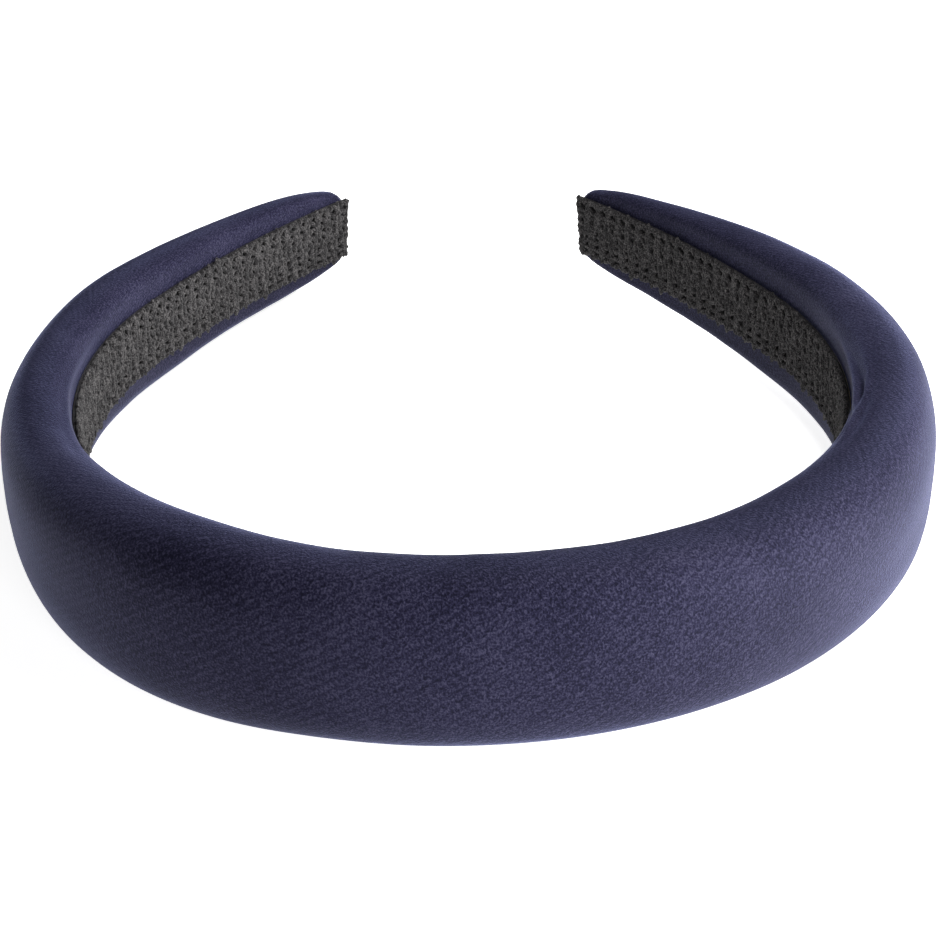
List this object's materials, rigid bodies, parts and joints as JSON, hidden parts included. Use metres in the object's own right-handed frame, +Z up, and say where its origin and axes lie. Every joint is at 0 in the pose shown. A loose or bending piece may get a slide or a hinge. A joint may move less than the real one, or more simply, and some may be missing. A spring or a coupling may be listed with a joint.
{
  "type": "padded headband",
  "caption": "Plain padded satin hair band: a springy horseshoe strip with a foam pad, a satin cover and a knitted lining tape, lying on its edge.",
  "frame": {"origin": "centre of the base of the outline box, with the band lying on one long edge", "axes": "+Z up across the band's width, crown facing -Y, tips pointing towards +Y, +X to the right half"},
  "size_m": [0.1476, 0.1642, 0.0254],
  "materials": {
    "satin": "satin",
    "knitted_tape": "matte",
    "spring_plastic": "satin",
    "foam": "matte",
    "glue": "satin"
  },
  "bodies": {
    "left_half": {"satin_cover_left": "satin", "lining_tape_left": "knitted_tape", "lining_glue_left": "glue", "hem_glue_left": "glue", "spring_band_left": "spring_plastic", "foam_glue_left": "glue", "foam_pad_left": "foam"},
    "right_half": {"satin_cover_right": "satin", "lining_tape_right": "knitted_tape", "lining_glue_right": "glue", "hem_glue_right": "glue", "spring_band_right": "spring_plastic", "foam_glue_right": "glue", "foam_pad_right": "foam"}
  },
  "joints": [
    {"name": "crown_flex", "type": "hinge", "parent": "left_half", "child": "right_half", "pos_m": [0, -0.0824, 0.0127], "axis": [0, 0, -1], "range_deg": [0, 16], "stiffness_Nm_per_rad": 1.3}
  ]
}
